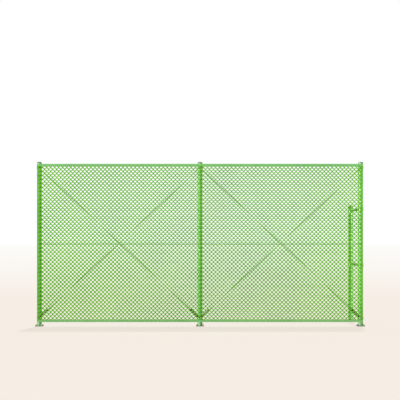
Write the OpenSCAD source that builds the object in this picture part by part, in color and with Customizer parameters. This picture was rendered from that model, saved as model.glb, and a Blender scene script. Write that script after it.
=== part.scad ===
// Two-bay wire mesh guard fence: round posts on bolted plates, a rail above and below the mesh,
// cable cross-bracing with turnbuckles in each bay, and a lower stay post behind the right end.
// X runs along the fence, the mesh faces -Y and Z is up.
// The origin is under the middle post, on the underside of its base plate.

/* [Fence run] */
// Distance between neighbouring front posts, centre to centre
bay_w = 2000; // [1600:10:2400]
// Height of the front posts' tube tops above the ground
post_top = 2030; // [1700:5:2300]
// Height of the bottom rail's centre line above the ground
bottom_rail_z = 70; // [40:1:90]
// Distance of the top rail's centre line below the tube tops
top_rail_drop = 30; // [18:1:60]

/* [Posts] */
// Outside diameter of the post tubes
post_d = 60.3; // [48.3:0.1:76.1]
// Wall of the post tubes
post_wall = 2.6; // [2:0.1:5]
// Height of the rear stay post's tube top above the ground
rear_post_top = 1522; // [1480:1:1650]
// Distance from the right end post back to the stay post, centre to centre
rear_reach = 750; // [500:5:1000]
// Height of the straight part of a post cap's head
cap_head = 8; // [4:0.5:15]
// Rise of the domed top of a post cap
cap_dome = 6; // [3:0.5:12]
// Length of the cap's spigot inside the tube
cap_spigot = 20; // [10:1:40]

/* [Base plates] */
// Side of the square base plates
plate_w = 100; // [96:1:160]
// Thickness of the base plates
plate_t = 8; // [5:0.5:15]
// Corner radius of the base plates
plate_corner = 6; // [2:0.5:8]
// Spacing of the anchor holes, centre to centre
anchor_spacing = 70; // [70:0.5:74]
// Diameter of the anchor holes
anchor_d = 12; // [8:0.5:13]

/* [Rails] */
// Height of the channel rails, as seen from the front
rail_h = 25; // [22:1:30]
// Depth of the channel rails, front to back
rail_depth = 31; // [30:1:44]
// Wall of the rails
rail_wall = 3; // [2:0.5:3]
// Length of rail beyond the centre line of an end post
rail_overhang = 14; // [14:1:30]
// Gap between the front of the brace pins and the backs of the rails
rail_clearance = 0.5; // [0.5:0.5:10]
// Width of a saddle along the rail
saddle_w = 28; // [20:1:28]
// Depth to which a saddle wraps around the post
saddle_wrap = 6; // [3:0.5:9]

/* [Wire mesh] */
// Width of one diamond of the mesh, corner to corner
diamond_w = 49.75; // [40:0.25:80]
// Height of one diamond of the mesh, corner to corner
diamond_h = 49.75; // [40:0.25:80]
// Thickness of a mesh wire, across its flats
wire_d = 11; // [4:0.5:11]
// Distance to the right from the middle post's centre line to a crossing of the wires
crossing_x = -7; // [-24:1:24]
// Height of that crossing above the ground
crossing_z = 1024; // [1003:1:1053]
// Thickness of the strips along the mesh's edges, inside the rails and at the ends
strip_t = 5; // [3:0.5:7]
// Width of the flat bars behind the mesh's ends
edge_bar_w = 12; // [8:1:20]

/* [Cable bracing] */
// Diameter of the brace cables
cable_d = 8; // [4:0.5:9]
// Gap between a rail and the brace band or eye next to it
brace_gap = 1.5; // [1:0.5:40]
// Diameter of the brace pins
pin_d = 12; // [10:0.5:14]
// Clearance between a brace pin and its eye, on the diameter
eye_clearance = 0.5; // [0.2:0.1:1]
// Wall of the eyes around their holes
eye_wall = 7; // [5:0.5:8]
// Wall of the brace bands around the posts
band_wall = 4; // [3:0.5:5]
// Height of the brace bands
band_h = 30; // [20:1:30]
// Length of a turnbuckle's open body
buckle_body = 120; // [90:1:160]
// Length of the screw that shows between the eye and the body
buckle_screw = 22; // [20:1:40]
// Diameter of the turnbuckle screws
screw_d = 10; // [8:0.5:10]
// Length of the swaged sleeves at the cable ends
sleeve_len = 45; // [30:1:60]
// Diameter of the swaged sleeves
sleeve_d = 12; // [11:0.5:13]

/* [Line wire] */
// Diameter of the line wire at mid height
line_wire_d = 6; // [4:0.5:6]
// Height of the line wire above the ground
line_wire_z = 1022; // [700:1:1300]
// Width of the clips that hold the line wire on the posts
clip_w = 24; // [16:1:40]
// Height of the line wire's clips
clip_h = 18; // [14:1:30]
// Wall of a clip in front of the line wire
clip_wall = 3; // [2:0.5:4]

/* [Rear stay arms] */
// Outside diameter of the arms to the stay post
arm_d = 26.9; // [21.3:0.1:33.7]
// Wall of the arms
arm_wall = 2.3; // [1.5:0.1:4]
// Height of the upper arm's centre line above the ground
upper_arm_z = 1458; // [1150:1:1458]
// Height of the lower arm's centre line above the ground
lower_arm_z = 756; // [300:1:940]
// Wall of the tee sockets around the arms
socket_wall = 3.5; // [2.5:0.5:6]
// Depth to which an arm enters its socket
socket_depth = 25; // [15:1:40]

/* [Hidden] */

// Facets of round parts, and the extra length of a cutting tool past the face it cuts
round_fn = 64;
small_fn = 32;
cut = 1;

// Colours of the finishes
green_paint = [0.37, 0.73, 0.30];
wire_green = [0.28, 0.64, 0.10];
galvanised = [0.45, 0.47, 0.42];
cap_green = [0.30, 0.45, 0.28];

// Post radius, top rail and line wire
post_r = post_d / 2;
top_rail_z = post_top - top_rail_drop;
rail_half = bay_w + rail_overhang;
line_wire_y = -(post_r + line_wire_d / 2);

// Brace layers from the posts towards the mesh: line wire, falling cables, rising cables
layer_gap = 1;
cable_r = cable_d / 2;
falling_y = -(post_r + line_wire_d + layer_gap + cable_r);
rising_y = falling_y - cable_d - layer_gap;
eye_t = cable_d + layer_gap;
eye_hole_r = (pin_d + eye_clearance) / 2;
eye_r = eye_hole_r + eye_wall;
pin_to_rail = rail_h / 2 + brace_gap + max(band_h / 2, eye_r);
lower_pin_z = bottom_rail_z + pin_to_rail;
upper_pin_z = top_rail_z - pin_to_rail;
pin_head_t = 3;
pin_head_rim = 4;
pin_head_r = pin_d / 2 + pin_head_rim;
brace_rise = upper_pin_z - lower_pin_z;
brace_len = norm([bay_w, brace_rise]);
brace_angle = atan2(brace_rise, bay_w);

// The rails pass in front of the brace pins
rail_back_y = rising_y - eye_t / 2 - pin_head_t - rail_clearance;
rail_y = rail_back_y - rail_depth / 2;

// The mesh fills the channels to their webs; its two layers of wires meet in the rails' centre plane
mesh_half = rail_half - rail_wall;
mesh_low_z = bottom_rail_z - rail_h / 2 + rail_wall;
mesh_high_z = top_rail_z + rail_h / 2 - rail_wall;
mesh_h = mesh_high_z - mesh_low_z;
strip_proud = 1;

// Stations along a brace, from its lower pin
neck_len = 4;
body_start = eye_r + neck_len + buckle_screw;
body_end = body_start + buckle_body;
buckle_len = body_end + buckle_screw;
collar_len = 16;
collar_r = 7;
bar_r = 4;
bar_offset = 10.5;
screw_tail = 22;

// Stay arms
arm_r = arm_d / 2;
socket_r = arm_r + socket_wall;
socket_web = 2;
socket_floor = band_wall + socket_web;
collar_margin = 3;

// ---- placing helpers ----

// A cylinder along X, centred on the middle of its length
module bar_x(r, len, fn = round_fn) {
    rotate([0, 90, 0]) cylinder(r = r, h = len, center = true, $fn = fn);
}

// A cylinder along Y that starts at its near end and runs back
module bar_y(r, len, fn = round_fn) {
    rotate([-90, 0, 0]) cylinder(r = r, h = len, $fn = fn);
}

// A tube along Z
module tube_z(r, wall, len) {
    difference() {
        cylinder(r = r, h = len, $fn = round_fn);
        translate([0, 0, -cut]) cylinder(r = r - wall, h = len + 2 * cut, $fn = round_fn);
    }
}

// ---- posts ----

module post(x, y, top) {
    color(green_paint)
        translate([x, y, plate_t]) tube_z(post_r, post_wall, top - plate_t);
}

module rounded_square(side, corner) {
    straight = side - 2 * corner;
    square([side, straight], center = true);
    square([straight, side], center = true);
    for (sx = [-1, 1], sy = [-1, 1])
        translate([sx, sy] * straight / 2) circle(r = corner, $fn = small_fn);
}

module base_plate(x, y) {
    color(galvanised) translate([x, y, 0]) difference() {
        linear_extrude(plate_t) rounded_square(plate_w, plate_corner);
        for (sx = [-1, 1], sy = [-1, 1])
            translate([sx * anchor_spacing / 2, sy * anchor_spacing / 2, -cut])
                cylinder(d = anchor_d, h = plate_t + 2 * cut, $fn = small_fn);
    }
}

// A cap: a spigot in the tube, a head on its rim and a shallow dome
module post_cap(x, y, top) {
    dome_r = (post_r * post_r + cap_dome * cap_dome) / (2 * cap_dome);
    color(cap_green) translate([x, y, top]) {
        translate([0, 0, -cap_spigot]) cylinder(r = post_r - post_wall, h = cap_spigot + cut, $fn = round_fn);
        cylinder(r = post_r, h = cap_head, $fn = round_fn);
        intersection() {
            translate([0, 0, cap_head + cap_dome - dome_r]) sphere(r = dome_r, $fn = round_fn);
            cylinder(r = post_r, h = cap_head + cap_dome, $fn = round_fn);
        }
    }
}

// ---- rails ----

// A channel along X with closed ends, whose mouth faces up or down (mouth is 1 or -1)
module rail(z, mouth) {
    inner_len = 2 * mesh_half;
    color(green_paint) translate([-rail_half, rail_back_y - rail_depth, z - rail_h / 2]) difference() {
        cube([2 * rail_half, rail_depth, rail_h]);
        translate([rail_wall, rail_wall, mouth > 0 ? rail_wall : -rail_wall])
            cube([inner_len, rail_depth - 2 * rail_wall, rail_h]);
    }
}

// An upright flat bar behind the end of the mesh, on the back flanges of both rails
module edge_bar(side) {
    low = bottom_rail_z + rail_h / 2;
    front_y = rail_y + wire_d + strip_proud;
    color(green_paint) mirror([side < 0 ? 1 : 0, 0, 0])
        translate([rail_half - edge_bar_w, front_y, low])
            cube([edge_bar_w, rail_back_y - front_y, top_rail_z - rail_h / 2 - low]);
}

// The blocks between a post and the two rails, hollowed to seat on the post
module rail_saddles(x) {
    color(green_paint)
        for (z = [bottom_rail_z, top_rail_z])
            translate([x, 0, z - rail_h / 2]) difference() {
                translate([-saddle_w / 2, rail_back_y, 0])
                    cube([saddle_w, saddle_wrap - post_r - rail_back_y, rail_h]);
                translate([0, 0, -cut]) cylinder(r = post_r, h = rail_h + 2 * cut, $fn = round_fn);
            }
}

// ---- mesh ----

// One layer of the mesh: parallel six-sided wires, joined by strips along the edges.
// lean is 1 where the wires rise to the right and -1 where they fall; face is -1 for the front
// layer and 1 for the back one.
module mesh_layer(lean, face) {
    wire_len = 2 * mesh_h * norm([diamond_w, diamond_h]) / diamond_h;
    last = ceil((mesh_half + mesh_h * diamond_w / diamond_h) / diamond_w);
    half_strip = strip_t / 2;
    strip_y = rail_y + face * (wire_d / 2 + strip_proud) - wire_d / 2;
    color(wire_green) {
        intersection() {
            translate([half_strip - mesh_half, rail_y - rail_depth / 2, mesh_low_z + half_strip])
                cube([2 * mesh_half - strip_t, rail_depth, mesh_h - strip_t]);
            for (k = [-last:last])
                translate([crossing_x + k * diamond_w, rail_y + face * wire_d / 2, crossing_z])
                    rotate([0, lean * atan2(diamond_w, diamond_h), 0])
                        cylinder(r = wire_d / 2 / cos(30), h = wire_len, center = true, $fn = 6);
        }
        for (z = [mesh_low_z, mesh_high_z - strip_t])
            translate([-mesh_half, strip_y, z]) cube([2 * mesh_half, wire_d, strip_t]);
        for (x = [-mesh_half, mesh_half - strip_t])
            translate([x, strip_y, mesh_low_z]) cube([strip_t, wire_d, mesh_h]);
    }
}

// ---- cable bracing ----

// Places its children with +X along a brace, from the lower pin of that brace.
// side picks the bay; a rising cable starts at the bay's left post and a falling one at its right.
module along_brace(side, rising) {
    left_x = side < 0 ? -bay_w : 0;
    lower_x = rising ? left_x : left_x + bay_w;
    translate([lower_x, rising ? rising_y : falling_y, lower_pin_z])
        mirror([rising ? 0 : 1, 0, 0])
            rotate([0, -brace_angle, 0]) children();
}

// An eye around a pin at the origin, with a flat neck towards +X
module eye(neck) {
    difference() {
        union() {
            translate([0, -eye_t / 2, 0]) bar_y(eye_r, eye_t, small_fn);
            translate([0, -eye_t / 2, -screw_d / 2]) cube([neck, eye_t, screw_d]);
        }
        translate([0, -eye_t / 2 - cut, 0]) bar_y(eye_hole_r, eye_t + 2 * cut, small_fn);
    }
}

// A round bar from one station along the brace to another
module along(from, to, r) {
    translate([(from + to) / 2, 0, 0]) bar_x(r, to - from, small_fn);
}

// An open body on two screws; the lower screw ends in an eye and the upper one in the cable
module turnbuckle(side, rising) {
    screw_start = eye_r + neck_len - cut;
    color(galvanised) along_brace(side, rising) {
        eye(eye_r + neck_len);
        along(screw_start, body_start + collar_len + screw_tail, screw_d / 2);
        along(body_end - collar_len - screw_tail, buckle_len, screw_d / 2);
        for (x = [body_start, body_end - collar_len]) {
            along(x, x + collar_len, collar_r);
            translate([x, -bar_r, -bar_offset]) cube([collar_len, 2 * bar_r, 2 * bar_offset]);
        }
        for (s = [-1, 1])
            translate([0, 0, s * bar_offset]) along(body_start, body_end, bar_r);
    }
}

// A cable from the turnbuckle's screw to the eye on the upper pin
module cable(side, rising) {
    neck_start = brace_len - eye_r - neck_len;
    color(galvanised) along_brace(side, rising) {
        along(buckle_len, buckle_len + sleeve_len, sleeve_d / 2);
        along(buckle_len, neck_start, cable_r);
        along(neck_start - sleeve_len, neck_start, sleeve_d / 2);
        translate([brace_len, 0, 0]) mirror([1, 0, 0]) eye(eye_r + neck_len + cut);
    }
}

// A band on a post whose pin holds the eyes of the falling or rising cables, or both
module brace_band(x, z, falling, rising) {
    falling_back = falling_y + eye_t / 2;
    rising_back = rising_y + eye_t / 2;
    eyes_back = falling ? falling_back : rising_back;
    eyes_front = rising ? rising_y - eye_t / 2 : falling_y - eye_t / 2;
    translate([x, 0, z]) {
        difference() {
            union() {
                translate([0, 0, -band_h / 2]) cylinder(r = post_r + band_wall, h = band_h, $fn = round_fn);
                translate([0, eyes_back, 0]) bar_y(pin_head_r, -eyes_back - post_r, small_fn);
            }
            translate([0, 0, -band_h]) cylinder(r = post_r, h = 2 * band_h, $fn = round_fn);
        }
        translate([0, eyes_front - cut, 0]) bar_y(pin_d / 2, eyes_back - eyes_front + 2 * cut, small_fn);
        translate([0, eyes_front - pin_head_t, 0]) bar_y(pin_head_r, pin_head_t, small_fn);
    }
}

// The two bands of a post; has_left and has_right say on which sides it has a bay
module brace_bands(x, has_left, has_right) {
    color(green_paint) {
        brace_band(x, lower_pin_z, has_left, has_right);
        brace_band(x, upper_pin_z, has_right, has_left);
    }
}

// ---- line wire ----

// The line wire lies against the fronts of the posts and ends flush with the rails
module line_wire() {
    color(galvanised)
        translate([0, line_wire_y, line_wire_z]) bar_x(line_wire_d / 2, 2 * rail_half, small_fn);
}

// Blocks that hold the line wire, hollowed to seat on the posts as deep as the saddles do
module line_wire_clips() {
    front_y = line_wire_y - line_wire_d / 2 - clip_wall;
    back_y = saddle_wrap - post_r;
    color(galvanised)
        for (x = [-bay_w, 0, bay_w])
            translate([x, 0, line_wire_z]) difference() {
                translate([-clip_w / 2, front_y, -clip_h / 2]) cube([clip_w, back_y - front_y, clip_h]);
                translate([0, line_wire_y, 0]) bar_x(line_wire_d / 2, clip_w + 2 * cut, small_fn);
                translate([0, 0, -clip_h]) cylinder(r = post_r, h = 2 * clip_h, $fn = round_fn);
            }
}

// ---- rear stay ----

module stay_arm(z) {
    arm_len = rear_reach - 2 * (post_r + socket_floor);
    color(green_paint) translate([bay_w, post_r + socket_floor, z]) difference() {
        bar_y(arm_r, arm_len);
        translate([0, -cut, 0]) bar_y(arm_r - arm_wall, arm_len + 2 * cut);
    }
}

// A tee on a post: a collar with a socket that opens towards +Y
module stay_tee() {
    tee_h = 2 * (socket_r + collar_margin);
    socket_end = post_r + socket_floor + socket_depth;
    difference() {
        union() {
            translate([0, 0, -tee_h / 2]) cylinder(r = post_r + band_wall, h = tee_h, $fn = round_fn);
            bar_y(socket_r, socket_end);
        }
        translate([0, 0, -tee_h]) cylinder(r = post_r, h = 2 * tee_h, $fn = round_fn);
        translate([0, post_r + socket_floor, 0]) bar_y(arm_r, socket_depth + cut);
    }
}

module stay_tees(z) {
    color(green_paint) {
        translate([bay_w, 0, z]) stay_tee();
        translate([bay_w, rear_reach, z]) mirror([0, 1, 0]) stay_tee();
    }
}

// ---- nodes ----

post(-bay_w, 0, post_top);  // post_left
post(0, 0, post_top);  // post_middle
post(bay_w, 0, post_top);  // post_right
post(bay_w, rear_reach, rear_post_top);  // post_rear
base_plate(-bay_w, 0);  // base_plate_left
base_plate(0, 0);  // base_plate_middle
base_plate(bay_w, 0);  // base_plate_right
base_plate(bay_w, rear_reach);  // base_plate_rear
post_cap(-bay_w, 0, post_top);  // post_cap_left
post_cap(0, 0, post_top);  // post_cap_middle
post_cap(bay_w, 0, post_top);  // post_cap_right
post_cap(bay_w, rear_reach, rear_post_top);  // post_cap_rear
rail(top_rail_z, -1);  // top_rail
rail(bottom_rail_z, 1);  // bottom_rail
edge_bar(-1);  // edge_bar_left
edge_bar(1);  // edge_bar_right
rail_saddles(-bay_w);  // rail_saddles_left
rail_saddles(0);  // rail_saddles_middle
rail_saddles(bay_w);  // rail_saddles_right
mesh_layer(1, -1);  // mesh_front_wires
mesh_layer(-1, 1);  // mesh_back_wires
brace_bands(-bay_w, false, true);  // brace_bands_left
brace_bands(0, true, true);  // brace_bands_middle
brace_bands(bay_w, true, false);  // brace_bands_right
cable(-1, true);  // cable_left_rising
cable(-1, false);  // cable_left_falling
cable(1, true);  // cable_right_rising
cable(1, false);  // cable_right_falling
turnbuckle(-1, true);  // turnbuckle_left_rising
turnbuckle(-1, false);  // turnbuckle_left_falling
turnbuckle(1, true);  // turnbuckle_right_rising
turnbuckle(1, false);  // turnbuckle_right_falling
line_wire();
line_wire_clips();
stay_arm(upper_arm_z);  // stay_arm_upper
stay_arm(lower_arm_z);  // stay_arm_lower
stay_tees(upper_arm_z);  // stay_tees_upper
stay_tees(lower_arm_z);  // stay_tees_lower
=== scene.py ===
"""A two-bay wire mesh guard fence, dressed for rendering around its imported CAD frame."""

import math

import bpy
import numpy as np
from mathutils import Matrix, Vector


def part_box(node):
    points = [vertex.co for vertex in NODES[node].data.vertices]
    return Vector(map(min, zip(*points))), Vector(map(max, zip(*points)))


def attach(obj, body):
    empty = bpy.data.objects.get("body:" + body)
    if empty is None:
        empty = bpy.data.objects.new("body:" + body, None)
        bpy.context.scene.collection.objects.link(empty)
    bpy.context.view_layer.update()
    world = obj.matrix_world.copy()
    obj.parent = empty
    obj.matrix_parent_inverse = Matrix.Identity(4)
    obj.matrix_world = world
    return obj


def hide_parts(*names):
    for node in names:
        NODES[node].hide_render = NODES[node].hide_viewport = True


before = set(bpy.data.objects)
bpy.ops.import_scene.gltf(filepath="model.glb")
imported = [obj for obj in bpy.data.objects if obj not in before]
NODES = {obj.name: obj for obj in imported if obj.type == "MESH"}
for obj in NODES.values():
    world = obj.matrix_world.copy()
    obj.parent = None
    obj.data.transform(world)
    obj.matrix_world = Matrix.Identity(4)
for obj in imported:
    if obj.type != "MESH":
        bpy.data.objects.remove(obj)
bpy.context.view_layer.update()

# ---- places, in metres, in the CAD frame ----

MM = 0.001
POST_XS = (-2.0, 0.0, 2.0)
post_lo, post_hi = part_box("post_middle")
POST_R = (post_hi.x - post_lo.x) / 2
PLATE_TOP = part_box("base_plate_middle")[1].z
rear_lo, rear_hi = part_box("post_rear")
REAR_Y = (rear_lo.y + rear_hi.y) / 2
FEET = [(x, 0.0) for x in POST_XS] + [(POST_XS[-1], REAR_Y)]
rail_lo, rail_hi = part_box("bottom_rail")
top_lo, top_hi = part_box("top_rail")
RAIL_Y = (rail_lo.y + rail_hi.y) / 2
RAIL_BACK_Y = rail_hi.y
LOW_RAIL_Z = (rail_lo.z + rail_hi.z) / 2
HIGH_RAIL_Z = (top_lo.z + top_hi.z) / 2
SADDLE_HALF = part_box("rail_saddles_middle")[1].x
BAND_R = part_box("brace_bands_middle")[1].y

# The mesh
mesh_lo, mesh_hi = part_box("mesh_front_wires")
MESH_HALF = mesh_hi.x
WIRE_D = 11 * MM
HALF_DIAMOND = 24.875 * MM
CROSSING_X = -7 * MM
CROSSING_Z = 1024 * MM
STRIP_T = 5 * MM

# The stay arms and the sockets of their tees
arm_lo, arm_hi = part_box("stay_arm_upper")
low_arm_lo, low_arm_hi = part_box("stay_arm_lower")
ARM_ZS = [(arm_lo.z + arm_hi.z) / 2, (low_arm_lo.z + low_arm_hi.z) / 2]
SOCKET_WALL = 3.5 * MM
SOCKET_DEPTH = 25 * MM
SOCKET_R = (arm_hi.x - arm_lo.x) / 2 + SOCKET_WALL
SOCKET_SCREW_Y = arm_lo.y + SOCKET_DEPTH / 2

# The brace cables and turnbuckles, measured along a brace from its lower pin
BAY_W = 2.0
PIN_TO_RAIL = 29 * MM
PIN_LOW_Z = LOW_RAIL_Z + PIN_TO_RAIL
PIN_HIGH_Z = HIGH_RAIL_Z - PIN_TO_RAIL
FALLING_Y = -41.15 * MM
RISING_Y = -50.15 * MM
BRACE_LEN = math.hypot(BAY_W, PIN_HIGH_Z - PIN_LOW_Z)
BRACE_ANGLE = math.atan2(PIN_HIGH_Z - PIN_LOW_Z, BAY_W)
EYE_R = 13.25 * MM
EYE_HOLE_R = 6.25 * MM
EYE_T = 9 * MM
NECK = 4 * MM
BODY_START = 39.25 * MM
BODY_END = 159.25 * MM
BUCKLE_LEN = 181.25 * MM
COLLAR = 16 * MM
SCREW_R = 5 * MM
SLEEVE_LEN = 45 * MM
SLEEVE_R = 6 * MM
CABLE_R = 4 * MM


# ---- mesh helpers ----


class Geo:
    """Collects vertices and faces for one object."""

    def __init__(self):
        self.verts = []
        self.faces = []
        self.count = 0

    def add(self, verts, faces, place=None):
        """Adds a shape. A place that mirrors it also turns its faces round."""
        verts = np.asarray(verts, dtype=float)
        if place is not None:
            m = np.array(place)
            verts = verts @ m[:3, :3].T + m[:3, 3]
            if np.linalg.det(m[:3, :3]) < 0:
                faces = [tuple(reversed(f)) for f in faces]
        self.verts.append(verts)
        self.faces.extend(tuple(int(i) + self.count for i in f) for f in faces)
        self.count += len(verts)

    def build(self, name, material, sharp=35.0):
        mesh = bpy.data.meshes.new(name)
        mesh.from_pydata(np.concatenate(self.verts).tolist(), [], self.faces)
        mesh.validate()
        return finish_piece(mesh, name, material, sharp)


def finish_piece(mesh, name, material, sharp):
    """Shades a mesh, makes its object and lets it ride on the fence."""
    mesh.shade_smooth()
    if sharp is not None:
        mesh.set_sharp_from_angle(angle=math.radians(sharp))
    mesh.materials.append(material)
    obj = bpy.data.objects.new(name, mesh)
    bpy.context.scene.collection.objects.link(obj)
    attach(obj, "root")
    return obj


def sweep(points, radius, sides, turn=None):
    """A tube along a path. radius is a number, or one row of radii for each point."""
    pts = np.asarray(points, dtype=float)
    n = len(pts)
    steps = np.diff(pts, axis=0)
    steps /= np.linalg.norm(steps, axis=1)[:, None]
    tangents = np.vstack([steps[:1], steps[:-1] + steps[1:], steps[-1:]])
    tangents /= np.linalg.norm(tangents, axis=1)[:, None]
    side = np.cross(tangents[0], (0.0, 1.0, 0.0))
    side /= np.linalg.norm(side)
    angles = np.arange(sides) * 2 * math.pi / sides
    rings = np.empty((n, sides, 3))
    radii = np.broadcast_to(np.asarray(radius, dtype=float), (n, sides))
    for i in range(n):
        side = side - tangents[i] * np.dot(side, tangents[i])
        side /= np.linalg.norm(side)
        up = np.cross(tangents[i], side)
        a = angles if turn is None else angles + turn[i]
        spokes = np.outer(np.cos(a), side) + np.outer(np.sin(a), up)
        rings[i] = pts[i] + radii[i][:, None] * spokes
    return rings.reshape(-1, 3), ring_faces(n, sides)


def ring_faces(n, sides, caps=True):
    """Quads between n rings of vertices, and an end face on the first and last ring."""
    i, k = np.meshgrid(np.arange(n - 1), np.arange(sides), indexing="ij")
    this, following = i * sides, (i + 1) * sides
    nxt = (k + 1) % sides
    quads = np.stack([this + k, this + nxt, following + nxt, following + k], axis=-1)
    faces = [tuple(q) for q in quads.reshape(-1, 4)]
    if caps:
        faces.append(tuple(range(sides - 1, -1, -1)))
        faces.append(tuple((n - 1) * sides + j for j in range(sides)))
    return faces


def lathe(profile, sides, closed=False):
    """Turns (radius, height) pairs around Z. An open profile gets end faces."""
    a = np.arange(sides) * 2 * math.pi / sides
    rows = list(profile) + ([profile[0]] if closed else [])
    rings = [np.stack([r * np.cos(a), r * np.sin(a), np.full(sides, h)], axis=1) for r, h in rows]
    return np.concatenate(rings), ring_faces(len(rows), sides, caps=not closed)


def washer(hole_r, outer_r, thick, edge, sides):
    """A flat washer with broken outer edges, lying on z = 0."""
    rows = [(hole_r, 0), (outer_r - edge, 0), (outer_r, edge), (outer_r, thick - edge),
            (outer_r - edge, thick), (hole_r, thick)]
    return lathe(rows, sides, closed=True)


def dome_head(radius, height, sides):
    """A round screw head on a short collar, standing on z = 0."""
    collar = 0.6 * MM
    rows = [(radius, 0), (radius, collar)]
    for t in (0.25, 0.5, 0.75, 0.93):
        a = t * math.pi / 2
        rows.append((radius * math.cos(a), collar + (height - collar) * math.sin(a)))
    return lathe(rows, sides)


def hex_rings(flats, height, chamfer, sides=24):
    """A hexagonal nut or head with chamfered edges, standing on z = 0."""
    a = (np.arange(sides) + 0.5) * 2 * math.pi / sides
    hexagon = flats / 2 / np.cos((a % (math.pi / 3)) - math.pi / 6)
    rounded = np.minimum(hexagon, flats / 2 * 1.02)
    rings = ((rounded, 0), (hexagon, chamfer), (hexagon, height - chamfer), (rounded, height))
    verts = []
    for r, z in rings:
        verts.append(np.stack([r * np.cos(a), r * np.sin(a), np.full(sides, z)], axis=1))
    return np.concatenate(verts), ring_faces(4, sides)


def block(lo, hi, bevel):
    """A box with bevelled edges."""
    lo, hi = np.asarray(lo, float), np.asarray(hi, float)
    verts, faces = [], []
    index = {}
    signs = (-1, 1)
    centre, half = (lo + hi) / 2, (hi - lo) / 2
    for sx in signs:
        for sy in signs:
            for sz in signs:
                s = np.array((sx, sy, sz))
                for axis in range(3):
                    p = half - bevel
                    p[axis] = half[axis]
                    index[(sx, sy, sz, axis)] = len(verts)
                    verts.append(centre + s * p)
    for axis in range(3):
        u, v = [a for a in range(3) if a != axis]
        for s in signs:
            quad = []
            for su, sv in ((-1, -1), (1, -1), (1, 1), (-1, 1)):
                key = [0, 0, 0]
                key[axis], key[u], key[v] = s, su, sv
                quad.append(index[(*key, axis)])
            faces.append(tuple(quad))
    for axis in range(3):
        u, v = [a for a in range(3) if a != axis]
        for su in signs:
            for sv in signs:
                a = [0, 0, 0]
                a[u], a[v] = su, sv
                low, high = list(a), list(a)
                low[axis], high[axis] = -1, 1
                corners = ((*low, u), (*high, u), (*high, v), (*low, v))
                faces.append(tuple(index[corner] for corner in corners))
    for sx in signs:
        for sy in signs:
            for sz in signs:
                faces.append(tuple(index[(sx, sy, sz, axis)] for axis in range(3)))
    verts = np.array(verts)
    outward = []
    for f in faces:
        c = verts[list(f)].mean(axis=0)
        n = np.cross(verts[f[1]] - verts[f[0]], verts[f[2]] - verts[f[1]])
        outward.append(f if np.dot(n, c - centre) > 0 else tuple(reversed(f)))
    return verts, outward


def move(x, y, z):
    return Matrix.Translation((x, y, z))


# Matrices that turn local +Z
TO_FRONT = Matrix.Rotation(math.radians(90), 4, "X")   # to -Y
TO_BACK = Matrix.Rotation(math.radians(-90), 4, "X")   # to +Y
TO_RIGHT = Matrix.Rotation(math.radians(90), 4, "Y")   # to +X
TO_LEFT = Matrix.Rotation(math.radians(-90), 4, "Y")   # to -X


# ---- materials ----


def linear(r, g, b):
    """An 8-bit screen colour as linear values."""
    shares = (r / 255, g / 255, b / 255)
    return tuple(c / 12.92 if c <= 0.04045 else ((c + 0.055) / 1.055) ** 2.4 for c in shares)


class Shader:
    """A node tree with short calls for the nodes that the finishes share."""

    def __init__(self, name):
        self.mat = bpy.data.materials.new(name)
        self.mat.use_nodes = True
        self.nodes = self.mat.node_tree.nodes
        self.links = self.mat.node_tree.links
        self.bsdf = self.nodes["Principled BSDF"]
        self.coords = self.nodes.new("ShaderNodeTexCoord").outputs["Object"]

    def new(self, kind, values=(), **props):
        """Adds a node. Each input takes its value, or a link when the value is a socket."""
        node = self.nodes.new(kind)
        for key, value in props.items():
            setattr(node, key, value)
        for socket, value in dict(values).items():
            if isinstance(value, bpy.types.NodeSocket):
                self.links.new(value, node.inputs[socket])
            else:
                node.inputs[socket].default_value = value
        return node

    def noise(self, scale, detail=3.0):
        values = {"Vector": self.coords, "Scale": scale, "Detail": detail}
        return self.new("ShaderNodeTexNoise", values).outputs["Fac"]

    def spread(self, value, low, high, to_low, to_high):
        """Maps low..high to to_low..to_high and holds both ends."""
        values = {0: value, 1: low, 2: high, 3: to_low, 4: to_high}
        return self.new("ShaderNodeMapRange", values).outputs[0]

    def maths(self, operation, a, b):
        return self.new("ShaderNodeMath", {0: a, 1: b}, operation=operation).outputs[0]

    def mix(self, factor, a, b):
        node = self.new("ShaderNodeMix", {"Factor": factor}, data_type="RGBA")
        for socket, value in ((6, a), (7, b)):
            if isinstance(value, bpy.types.NodeSocket):
                self.links.new(value, node.inputs[socket])
            else:
                node.inputs[socket].default_value = (*value, 1)
        return node.outputs[2]

    def height(self, low, high):
        """1 at z = low, falling to 0 at z = high."""
        z = self.new("ShaderNodeSeparateXYZ", {0: self.coords}).outputs["Z"]
        return self.spread(z, low, high, 1.0, 0.0)

    def bump(self, value, distance):
        node = self.new("ShaderNodeBump", {"Height": value, "Distance": distance})
        self.links.new(node.outputs[0], self.bsdf.inputs["Normal"])

    def set(self, **values):
        for key, value in values.items():
            socket = self.bsdf.inputs[key.replace("_", " ")]
            if isinstance(value, bpy.types.NodeSocket):
                self.links.new(value, socket)
            else:
                socket.default_value = value


DUST = linear(172, 160, 132)
DUST_HEIGHT = 0.2
SCUFFED_GREEN = linear(176, 196, 160)


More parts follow.
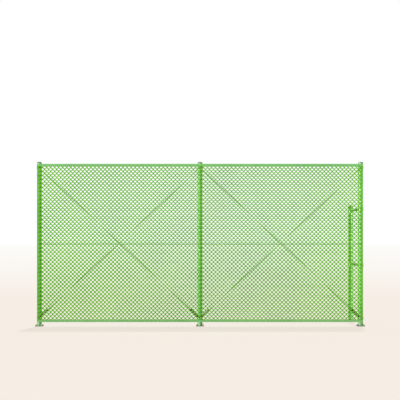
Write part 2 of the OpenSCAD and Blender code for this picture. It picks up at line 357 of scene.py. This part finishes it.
def coated_green(name, colour, light, peel, roughness, gloss):
    """Powder coat: slow colour drift, mottle, orange peel, scuffs, and dust near the ground."""
    drift_scale, sheen_scale, dust_scale, mottle_scale, scuff_scale = 2.3, 14, 28, 70, 240
    most_mottle, most_dust, most_scuff = 0.22, 0.25, 0.6
    s = Shader(name)
    drift = s.spread(s.noise(drift_scale), 0.35, 0.65, 0.0, 1.0)
    base = s.mix(drift, colour, light)
    mottle = s.spread(s.noise(mottle_scale, 4), 0.3, 0.7, 0.0, most_mottle)
    base = s.mix(mottle, base, tuple(c * 0.7 for c in colour))
    dust = s.spread(s.noise(dust_scale, 5), 0.40, 0.62, 0.0, most_dust)
    base = s.mix(s.maths("MULTIPLY", s.height(0.0, DUST_HEIGHT), dust), base, DUST)
    scuffs = s.spread(s.noise(scuff_scale, 6), 0.70, 0.76, 0.0, most_scuff)
    base = s.mix(scuffs, base, SCUFFED_GREEN)
    sheen = s.spread(s.noise(sheen_scale, 4), 0.3, 0.7, roughness - 0.06, roughness + 0.08)
    s.set(Base_Color=base, Roughness=sheen, Specular_IOR_Level=gloss)
    s.bump(s.noise(peel, 2), 0.25 * MM)
    return s.mat


def metal(name, dark, light, stain, cells, metallic, roughness):
    """Zinc or steel: crystals of uneven tone, soft stains and a fine grain."""
    stain_scale, grain_scale = 45, 800
    s = Shader(name)
    values = {"Vector": s.coords, "Scale": cells}
    crystal = s.new("ShaderNodeTexVoronoi", values).outputs["Color"]
    tone = s.new("ShaderNodeSeparateColor", {0: crystal}).outputs[0]
    base = s.mix(s.spread(tone, 0.0, 1.0, 0.15, 0.85), dark, light)
    dirt = s.spread(s.noise(stain_scale, 5), 0.45, 0.68, 0.0, 0.6)
    base = s.mix(dirt, base, stain)
    sheen = s.spread(tone, 0.0, 1.0, roughness - 0.08, roughness + 0.1)
    s.set(Base_Color=base, Metallic=metallic, Roughness=sheen)
    s.bump(s.noise(grain_scale, 3), 0.15 * MM)
    return s.mat


PAINT = coated_green("green_powder_coat", linear(97, 173, 84), linear(110, 185, 97),
                     peel=620, roughness=0.26, gloss=0.9)
WIRE = coated_green("green_coated_wire", linear(100, 184, 22), linear(116, 196, 30),
                    peel=900, roughness=0.5, gloss=0.1)
# A darker copy of the green coat for the stay arms. Its darkness is painted shade, standing in for
# the shadow that the arms lie in.
SHADED_ARM_PAINT = coated_green("arm_green_darkened_as_shade", linear(48, 98, 34), linear(60, 112, 46),
                         peel=620, roughness=0.6, gloss=0.1)
ZINC = metal("galvanised_steel", linear(96, 104, 88), linear(150, 156, 142),
             linear(92, 84, 62), cells=150, metallic=0.55, roughness=0.46)
DARK_STEEL = metal("weathered_steel", linear(48, 48, 30), linear(84, 78, 52),
                   linear(60, 42, 24), cells=260, metallic=0.3, roughness=0.5)
CABLE_STEEL = metal("cable_steel", linear(92, 128, 72), linear(118, 152, 98),
                    linear(60, 66, 40), cells=500, metallic=0.2, roughness=0.5)
BOLT_ZINC = metal("bolt_zinc", linear(120, 120, 108), linear(168, 168, 156),
                  linear(110, 96, 68), cells=420, metallic=0.8, roughness=0.36)


def cap_plastic():
    """Matt moulded plastic with a chalky bloom and a faint grain."""
    bloom_scale, sheen_scale, grain_scale = 35, 20, 1500
    s = Shader("cap_plastic")
    bloom = s.spread(s.noise(bloom_scale, 4), 0.3, 0.7, 0.0, 1.0)
    base = s.mix(bloom, linear(70, 120, 68), linear(104, 146, 100))
    s.set(Base_Color=base, Roughness=s.spread(s.noise(sheen_scale, 4), 0.3, 0.7, 0.5, 0.66))
    s.bump(s.noise(grain_scale, 2), 0.2 * MM)
    return s.mat


CAP = cap_plastic()


def finish_nodes(material, names):
    for name in names:
        mesh = NODES[name].data
        mesh.materials.clear()
        mesh.materials.append(material)


FRONT_POSTS = ("left", "middle", "right")
ALL_POSTS = FRONT_POSTS + ("rear",)
finish_nodes(PAINT, [f"post_{p}" for p in ALL_POSTS])
finish_nodes(PAINT, ["top_rail", "bottom_rail", "edge_bar_left", "edge_bar_right"])
finish_nodes(PAINT, [f"rail_saddles_{p}" for p in FRONT_POSTS])
# The stay arms take the darker copy of the green coat, which is painted shade.
finish_nodes(SHADED_ARM_PAINT, ["stay_arm_upper", "stay_arm_lower"])
finish_nodes(PAINT, ["stay_tees_upper", "stay_tees_lower"])
finish_nodes(CAP, [f"post_cap_{p}" for p in ALL_POSTS])
finish_nodes(ZINC, [f"base_plate_{p}" for p in ALL_POSTS] + ["line_wire_clips", "line_wire"])
finish_nodes(PAINT, [f"brace_bands_{p}" for p in FRONT_POSTS])
BRACES = [(side, slope) for side in ("left", "right") for slope in ("rising", "falling")]
finish_nodes(DARK_STEEL, [f"turnbuckle_{side}_{slope}" for side, slope in BRACES])


# ---- the woven mesh ----


def spiral_points(parity):
    """The centre line of one upright zigzag wire whose left bends are at x = 0.

    Half-turns that rise to the right lie in front, the others behind, and each bend passes
    round the neighbour's bend. A half-turn is straight between its bends, which are arcs of
    one wire radius.
    """
    r = WIRE_D / 2
    pitch = HALF_DIAMOND * math.sqrt(2)
    lean = math.radians(45) - math.asin(WIRE_D / pitch)
    wrap = math.pi / 2 - lean
    low = -math.floor((CROSSING_Z - mesh_lo.z) / HALF_DIAMOND)
    high = math.floor((mesh_hi.z - CROSSING_Z) / HALF_DIAMOND)
    points = []
    for j in range(low, high):
        rising = (j - parity) % 2 == 0
        face = -1 if rising else 1
        x0, x1 = (0.0, HALF_DIAMOND) if rising else (HALF_DIAMOND, 0.0)
        out = -1 if rising else 1
        z0 = CROSSING_Z + j * HALF_DIAMOND
        z1 = z0 + HALF_DIAMOND
        for centre_x, centre_z, side, up in ((x0, z0, out, 1), (x1, z1, -out, -1)):
            row = []
            for t in (0.5, 1.0):
                a = wrap * t
                row.append((centre_x + side * r * math.cos(a),
                            face * r * math.sin(a) / math.sin(wrap),
                            centre_z + up * r * math.sin(a)))
            points += row if up > 0 else row[::-1]
    return np.array(points)


def build_weave():
    """All the zigzag wires, in pieces that each take a share of the fence's length."""
    parts, wire_sides, squeeze = 4, 6, 0.3
    templates = [sweep(spiral_points(parity), WIRE_D / 2, wire_sides) for parity in (0, 1)]
    reach = MESH_HALF - WIRE_D / 2
    first = -math.floor((MESH_HALF + CROSSING_X) / HALF_DIAMOND)
    last = math.floor((MESH_HALF - CROSSING_X) / HALF_DIAMOND)
    starts = range(first, last)
    share = math.ceil(len(starts) / parts)
    pieces = []
    for p in range(parts):
        geo = Geo()
        for k in starts[p * share:(p + 1) * share]:
            verts, faces = templates[k % 2]
            verts = verts + np.array((CROSSING_X + k * HALF_DIAMOND, RAIL_Y, 0.0))
            x = verts[:, 0]
            past = np.abs(x) - reach
            verts[:, 0] = np.where(past > 0, np.sign(x) * (reach + past * squeeze), x)
            geo.add(verts, faces)
        pieces.append(geo.build(f"mesh_weave_{p + 1}", WIRE, None))
    return pieces


for piece in build_weave():
    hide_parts("mesh_front_wires", "mesh_back_wires")


def build_mesh_strips():
    """Flat bars in the channels that carry the mesh's edges."""
    geo = Geo()
    t, bevel, layer = STRIP_T, 0.6 * MM, mesh_hi.y - mesh_lo.y
    front, back = RAIL_Y - layer, RAIL_Y + layer
    for z in (mesh_lo.z, mesh_hi.z - t):
        geo.add(*block((-MESH_HALF, front, z), (MESH_HALF, back, z + t), bevel))
    for x in (-MESH_HALF, MESH_HALF - t):
        geo.add(*block((x, front, mesh_lo.z + t), (x + t, back, mesh_hi.z - t), bevel))
    strips = geo.build("mesh_edge_bars", WIRE)
    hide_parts("mesh_front_wires", "mesh_back_wires")


build_mesh_strips()


# ---- brace cables ----


def brace_place(side, slope):
    """A matrix whose +X runs along a brace from its lower pin, in the brace's own layer."""
    left_x = -BAY_W if side == "left" else 0.0
    tilt = Matrix.Rotation(-BRACE_ANGLE, 4, "Y")
    if slope == "rising":
        return move(left_x, RISING_Y, PIN_LOW_Z) @ tilt
    mirror = Matrix.Scale(-1, 4, (1, 0, 0))
    return move(left_x + BAY_W, FALLING_Y, PIN_LOW_Z) @ mirror @ tilt


def rope(geo, place, start, end):
    """A six-strand rope: one lobed section that turns along the length."""
    lay, per_turn, sides = 38 * MM, 10, 24
    valley, lobe_shape = 0.80, 0.7
    n = max(2, round((end - start) / lay * per_turn))
    xs = np.linspace(start, end, n + 1)
    a = np.arange(sides) * 2 * math.pi / sides
    section = CABLE_R * (valley + (1 - valley) * np.abs(np.cos(3 * a)) ** lobe_shape)
    points = np.stack([xs, np.zeros_like(xs), np.zeros_like(xs)], axis=1)
    turn = (xs - start) / lay * 2 * math.pi
    geo.add(*sweep(points, np.tile(section, (len(xs), 1)), sides, turn), place=place)


def sleeve(geo, place, start, end):
    """A swaged sleeve with rounded ends and three press marks."""
    length = end - start
    tip_r, round_r, groove_r = SLEEVE_R * 0.55, SLEEVE_R * 0.92, SLEEVE_R * 0.88
    round_len, tip_len = 3 * MM, 0.8 * MM
    groove_half, flank_half = 2 * MM, 3.2 * MM
    rows = [(tip_r, 0), (round_r, tip_len), (SLEEVE_R, round_len)]
    for mark in (0.25, 0.5, 0.75):
        z = mark * length
        rows += [(SLEEVE_R, z - flank_half), (groove_r, z - groove_half),
                 (groove_r, z + groove_half), (SLEEVE_R, z + flank_half)]
    rows += [(SLEEVE_R, length - round_len), (round_r, length - tip_len), (tip_r, length)]
    geo.add(*lathe(rows, 20), place=place @ move(start, 0, 0) @ TO_RIGHT)


def eye(geo, place):
    """A forged eye round the upper pin, with a neck that runs back down the cable."""
    h, b, into_sleeve, into_ring = EYE_T / 2, 1.2 * MM, 1 * MM, 2.5 * MM
    ring = [(EYE_HOLE_R, -h + b / 2), (EYE_HOLE_R + b / 2, -h), (EYE_R - b, -h), (EYE_R, -h + b),
            (EYE_R, h - b), (EYE_R - b, h), (EYE_HOLE_R + b / 2, h), (EYE_HOLE_R, h - b / 2)]
    centre = place @ move(BRACE_LEN, 0, 0) @ TO_BACK
    geo.add(*lathe(ring, 28, closed=True), place=centre)
    neck_lo = (BRACE_LEN - EYE_R - NECK - into_sleeve, -h * 0.95, -SCREW_R)
    neck_hi = (BRACE_LEN - EYE_R + into_ring, h * 0.95, SCREW_R)
    geo.add(*block(neck_lo, neck_hi, b), place=place)


def build_cable(side, slope):
    """One rope with its two sleeves and its eye, in place of the plain cable."""
    geo = Geo()
    place = brace_place(side, slope)
    neck_start = BRACE_LEN - EYE_R - NECK
    inset = 2 * MM
    rope(geo, place, BUCKLE_LEN + inset, neck_start - inset)
    sleeve(geo, place, BUCKLE_LEN, BUCKLE_LEN + SLEEVE_LEN)
    sleeve(geo, place, neck_start - SLEEVE_LEN, neck_start)
    eye(geo, place)
    cable = geo.build(f"rope_{side}_{slope}", CABLE_STEEL)
    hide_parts(f"cable_{side}_{slope}")


for brace in BRACES:
    build_cable(*brace)


def thread(geo, place, start, end):
    """Turns of thread that stand on a screw."""
    pitch, per_turn, flank = 2.5 * MM, 14, 0.42
    n = int((end - start) / pitch * per_turn)
    t = np.arange(n + 1) / per_turn
    a = t * 2 * math.pi
    root, crest = SCREW_R * 0.97, SCREW_R + 0.45 * MM
    fade = np.clip(np.minimum(t, t[-1] - t) * 2, 0, 1)
    low = np.full(n + 1, root)
    top = root + (crest - root) * fade
    rows = []
    for radius, shift in ((low, -flank), (top, 0.0), (low, flank)):
        along = start + (t + shift) * pitch
        rows.append(np.stack([along, radius * np.cos(a), radius * np.sin(a)], axis=1))
    verts = np.stack(rows, axis=1).reshape(-1, 3)
    geo.add(verts, ring_faces(n + 1, 3), place=place)


def build_buckle_details(side, slope):
    """The screws inside one turnbuckle's body, all its threads and its lock nuts."""
    geo = Geo()
    place = brace_place(side, slope)
    clear, nut_t, nut_gap, lead, eye_thread = 1 * MM, 6 * MM, 0.2 * MM, 1.5 * MM, 19 * MM
    thread(geo, place, BODY_START - eye_thread, BODY_START - clear)
    thread(geo, place, BODY_END + clear, BUCKLE_LEN - clear)
    middle, gap = (BODY_START + BODY_END) / 2, 3 * MM
    inner_start, inner_end = BODY_START + COLLAR, BODY_END - COLLAR
    tail = middle - gap - inner_start
    screw_r = SCREW_R * 0.96
    screw = lathe([(screw_r, 0), (screw_r, tail - clear), (SCREW_R * 0.75, tail)], 20)
    geo.add(*screw, place=place @ move(inner_start, 0, 0) @ TO_RIGHT)
    geo.add(*screw, place=place @ move(inner_end, 0, 0) @ TO_LEFT)
    thread(geo, place, inner_start + clear, middle - gap - lead)
    thread(geo, place, middle + gap + lead, inner_end - clear)
    nut = hex_rings(16 * MM, nut_t, 0.8 * MM)
    geo.add(*nut, place=place @ move(BODY_START - nut_gap - nut_t, 0, 0) @ TO_RIGHT)
    geo.add(*nut, place=place @ move(BODY_END + nut_gap, 0, 0) @ TO_RIGHT)
    geo.build(f"buckle_threads_{side}_{slope}", DARK_STEEL)


for brace in BRACES:
    build_buckle_details(*brace)


# ---- fasteners and welds ----


def build_anchors():
    """A stud, washer and nut in each anchor hole."""
    geo = Geo()
    offset, washer_t = 35 * MM, 2 * MM
    ring = washer(5.6 * MM, 11 * MM, washer_t, 0.4 * MM, 28)
    nut = hex_rings(17 * MM, 8 * MM, 1 * MM)
    stud = lathe([(5 * MM, 0), (5 * MM, 15 * MM), (4.2 * MM, 16 * MM)], 20)
    rng = np.random.default_rng(7)
    for x, y in FEET:
        for sx in (-1, 1):
            for sy in (-1, 1):
                turn = Matrix.Rotation(rng.uniform(0, 1), 4, "Z")
                at = move(x + sx * offset, y + sy * offset, PLATE_TOP) @ turn
                geo.add(*ring, place=at)
                geo.add(*nut, place=at @ move(0, 0, washer_t))
                geo.add(*stud, place=at)
    geo.build("anchor_bolts", BOLT_ZINC)


build_anchors()


def weld_ring(geo, radius, place, seed):
    """A weld bead round a tube, with the ripples of its runs."""
    rng = np.random.default_rng(seed)
    size, n, sides, ripples = 2.6 * MM, 96, 8, 30
    a = np.arange(n) * 2 * math.pi / n
    wobble = 1 + 0.10 * np.sin(a * ripples) + rng.uniform(-0.06, 0.06, n)
    section = np.arange(sides) * 2 * math.pi / sides
    verts = []
    for angle, w in zip(a, wobble):
        r, z = radius + size * w * np.cos(section), size * w * np.sin(section)
        verts.append(np.stack([r * math.cos(angle), r * math.sin(angle), z], axis=1))
    faces = []
    for i in range(n):
        j = (i + 1) % n
        for k in range(sides):
            m = (k + 1) % sides
            faces.append((i * sides + k, j * sides + k, j * sides + m, i * sides + m))
    geo.add(np.concatenate(verts), faces, place=place)


def build_welds():
    """A weld bead where each post stands on its plate."""
    geo = Geo()
    for seed, (x, y) in enumerate(FEET):
        weld_ring(geo, POST_R + 1 * MM, move(x, y, PLATE_TOP + 0.6 * MM), seed)
    geo.build("foot_welds", PAINT, 60)


build_welds()


BOLT_WASHER_T = 1.6 * MM
BOLT_HEAD = hex_rings(13 * MM, 5.3 * MM, 0.8 * MM)


def bolt_washer(radius):
    return washer(3.4 * MM, radius, BOLT_WASHER_T, 0.3 * MM, 24)


def build_rail_bolts():
    """A hex bolt across each rail saddle, with its washers and nut."""
    geo = Geo()
    bolt_y = (RAIL_BACK_Y - POST_R) / 2
    ring = bolt_washer(8 * MM)
    nut = hex_rings(13 * MM, 6.5 * MM, 0.8 * MM)
    tip = lathe([(4 * MM, 0), (4 * MM, 9.5 * MM), (3.3 * MM, 10.3 * MM)], 20)
    for x in POST_XS:
        for z in (LOW_RAIL_Z, HIGH_RAIL_Z):
            left = move(x - SADDLE_HALF, bolt_y, z) @ TO_LEFT
            right = move(x + SADDLE_HALF, bolt_y, z) @ TO_RIGHT
            geo.add(*ring, place=left)
            geo.add(*BOLT_HEAD, place=left @ move(0, 0, BOLT_WASHER_T))
            geo.add(*ring, place=right)
            geo.add(*nut, place=right @ move(0, 0, BOLT_WASHER_T))
            geo.add(*tip, place=right)
    geo.build("rail_bolts", BOLT_ZINC)


build_rail_bolts()


def build_band_bolts():
    """A hex bolt and washer behind each brace band and on the closed side of each tee."""
    geo = Geo()
    seat = BAND_R - 0.8 * MM
    ring = bolt_washer(9 * MM)
    places = [move(x, seat, z) @ TO_BACK for x in POST_XS for z in (PIN_LOW_Z, PIN_HIGH_Z)]
    for z in ARM_ZS:
        places.append(move(POST_XS[-1], -seat, z) @ TO_FRONT)
        places.append(move(POST_XS[-1], REAR_Y + seat, z) @ TO_BACK)
    for place in places:
        geo.add(*ring, place=place)
        geo.add(*BOLT_HEAD, place=place @ move(0, 0, BOLT_WASHER_T))
    geo.build("band_bolts", BOLT_ZINC)


def build_socket_screws():
    """A set screw on top of each socket that holds a stay arm."""
    geo = Geo()
    screw, sunk = hex_rings(10 * MM, 5 * MM, 0.7 * MM), 0.8 * MM
    for z in ARM_ZS:
        for y in (SOCKET_SCREW_Y, REAR_Y - SOCKET_SCREW_Y):
            geo.add(*screw, place=move(POST_XS[-1], y, z + SOCKET_R - sunk))
    geo.build("socket_screws", BOLT_ZINC)


def build_clip_screws():
    """Two round-headed screws on each clip of the line wire, one on each side of the wire."""
    geo = Geo()
    clip_lo, clip_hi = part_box("line_wire_clips")
    head, off_x, off_z = dome_head(2.9 * MM, 1.7 * MM, 20), 7.5 * MM, 5.8 * MM
    z = (clip_lo.z + clip_hi.z) / 2
    for x in POST_XS:
        for side in (-1, 1):
            geo.add(*head, place=move(x + side * off_x, clip_lo.y, z + side * off_z) @ TO_FRONT)
    geo.build("clip_screws", BOLT_ZINC)


build_band_bolts()
build_socket_screws()
build_clip_screws()


# ---- the stage: floor, world, lamps and camera ----

# The camera's place, and half the width of its view at the fence
CAMERA_DISTANCE = 11.3
CAMERA_HEIGHT = 1.022
HALF_VIEW = 2.49
HORIZON_SHIFT = 0.11
FAR_AWAY = 2000

FLOOR_HALF = 600.0
FLOOR_DROP = 0.5 * MM
FADE_LENGTH = 16.5
FLOOR_GLOW = 0.79
SKY_LIGHT = 0.38


def seen_rays(nodes, links):
    """1 on rays that the camera sees straight, in a reflection or through glass, 0 on the rest."""
    path = nodes.new("ShaderNodeLightPath").outputs
    seen = path["Is Camera Ray"]
    for kind in ("Is Glossy Ray", "Is Transmission Ray"):
        either = nodes.new("ShaderNodeMath")
        either.operation = "MAXIMUM"
        links.new(seen, either.inputs[0])
        links.new(path[kind], either.inputs[1])
        seen = either.outputs[0]
    return seen


def build_floor():
    """A pale floor that whitens with distance and glows a little where it is seen."""
    mesh = bpy.data.meshes.new("floor")
    w = FLOOR_HALF
    mesh.from_pydata([(-w, -w, 0), (w, -w, 0), (w, w, 0), (-w, w, 0)], [], [(0, 1, 2, 3)])
    floor = bpy.data.objects.new("floor", mesh)
    floor.location.z = -FLOOR_DROP
    bpy.context.scene.collection.objects.link(floor)
    s = Shader("floor")
    y = s.new("ShaderNodeSeparateXYZ", {0: s.coords}).outputs["Y"]
    away = s.maths("MAXIMUM", s.maths("SUBTRACT", y, -CAMERA_DISTANCE), 1.0)
    near = s.spread(s.maths("DIVIDE", FADE_LENGTH, away), 0.0, 1.0, 0.0, 1.0)
    colour = s.mix(near, linear(254, 253, 251), linear(247, 238, 229))
    s.set(Base_Color=colour, Roughness=0.9, Specular_IOR_Level=0.0)
    glow = s.new("ShaderNodeEmission", {"Color": colour, "Strength": 1.0})
    share = s.maths("MULTIPLY", seen_rays(s.nodes, s.links), FLOOR_GLOW)
    blend = s.new("ShaderNodeMixShader", {0: share, 1: s.bsdf.outputs[0], 2: glow.outputs[0]})
    s.links.new(blend.outputs[0], s.nodes["Material Output"].inputs["Surface"])
    mesh.materials.append(s.mat)


build_floor()


def build_world():
    """A white backdrop that lights the fence less than it shows."""
    world = bpy.data.worlds.new("studio")
    bpy.context.scene.world = world
    world.use_nodes = True
    nodes, links = world.node_tree.nodes, world.node_tree.links
    white = (1.0, 1.0, 1.0, 1)
    light = nodes["Background"]
    light.inputs["Color"].default_value = white
    light.inputs["Strength"].default_value = SKY_LIGHT
    seen = nodes.new("ShaderNodeBackground")
    seen.inputs["Color"].default_value = white
    mix = nodes.new("ShaderNodeMixShader")
    links.new(seen_rays(nodes, links), mix.inputs[0])
    links.new(light.outputs[0], mix.inputs[1])
    links.new(seen.outputs[0], mix.inputs[2])
    links.new(mix.outputs[0], nodes["World Output"].inputs["Surface"])


build_world()


def sun(name, source, strength, angle, shadow):
    """A sun that shines from the direction source towards the fence. The angle is in degrees."""
    data = bpy.data.lights.new(name, "SUN")
    data.use_shadow = shadow
    data.energy = strength
    data.angle = math.radians(angle)
    lamp = bpy.data.objects.new(name, data)
    lamp.rotation_euler = Vector(source).to_track_quat("Z", "Y").to_euler()
    bpy.context.scene.collection.objects.link(lamp)
    return lamp


def link_light(lamp, names, state):
    """Lets a lamp light only these nodes (INCLUDE), or all but these (EXCLUDE)."""
    receivers = bpy.data.collections.new(f"{lamp.name}_receivers")
    for name in names:
        receivers.objects.link(NODES[name])
    for member in receivers.collection_objects:
        member.light_linking.link_state = state
    lamp.light_linking.receiver_collection = receivers


STAY_POST = ("post_rear", "post_cap_rear")
key = sun("key", (-0.77, -0.64, 0.08), strength=2.8, angle=14, shadow=False)
link_light(key, STAY_POST, "EXCLUDE")
stay_key = sun("stay_key", (0.77, -0.64, 0.08), strength=2.6, angle=14, shadow=False)
link_light(stay_key, STAY_POST, "INCLUDE")
sun("top", (0.05, 0.32, 1.0), strength=1.7, angle=4, shadow=True)


def build_camera():
    """A level camera in front of the fence, with its view shifted up."""
    data = bpy.data.cameras.new("camera")
    data.sensor_width = 36.0
    data.lens = data.sensor_width / 2 * CAMERA_DISTANCE / HALF_VIEW
    data.shift_y = HORIZON_SHIFT
    data.clip_end = FAR_AWAY
    camera = bpy.data.objects.new("camera", data)
    camera.location = (0.0, -CAMERA_DISTANCE, CAMERA_HEIGHT)
    camera.rotation_euler = (math.radians(90), 0, 0)
    bpy.context.scene.collection.objects.link(camera)
    bpy.context.scene.camera = camera


build_camera()
bpy.context.scene.view_settings.view_transform = "Standard"
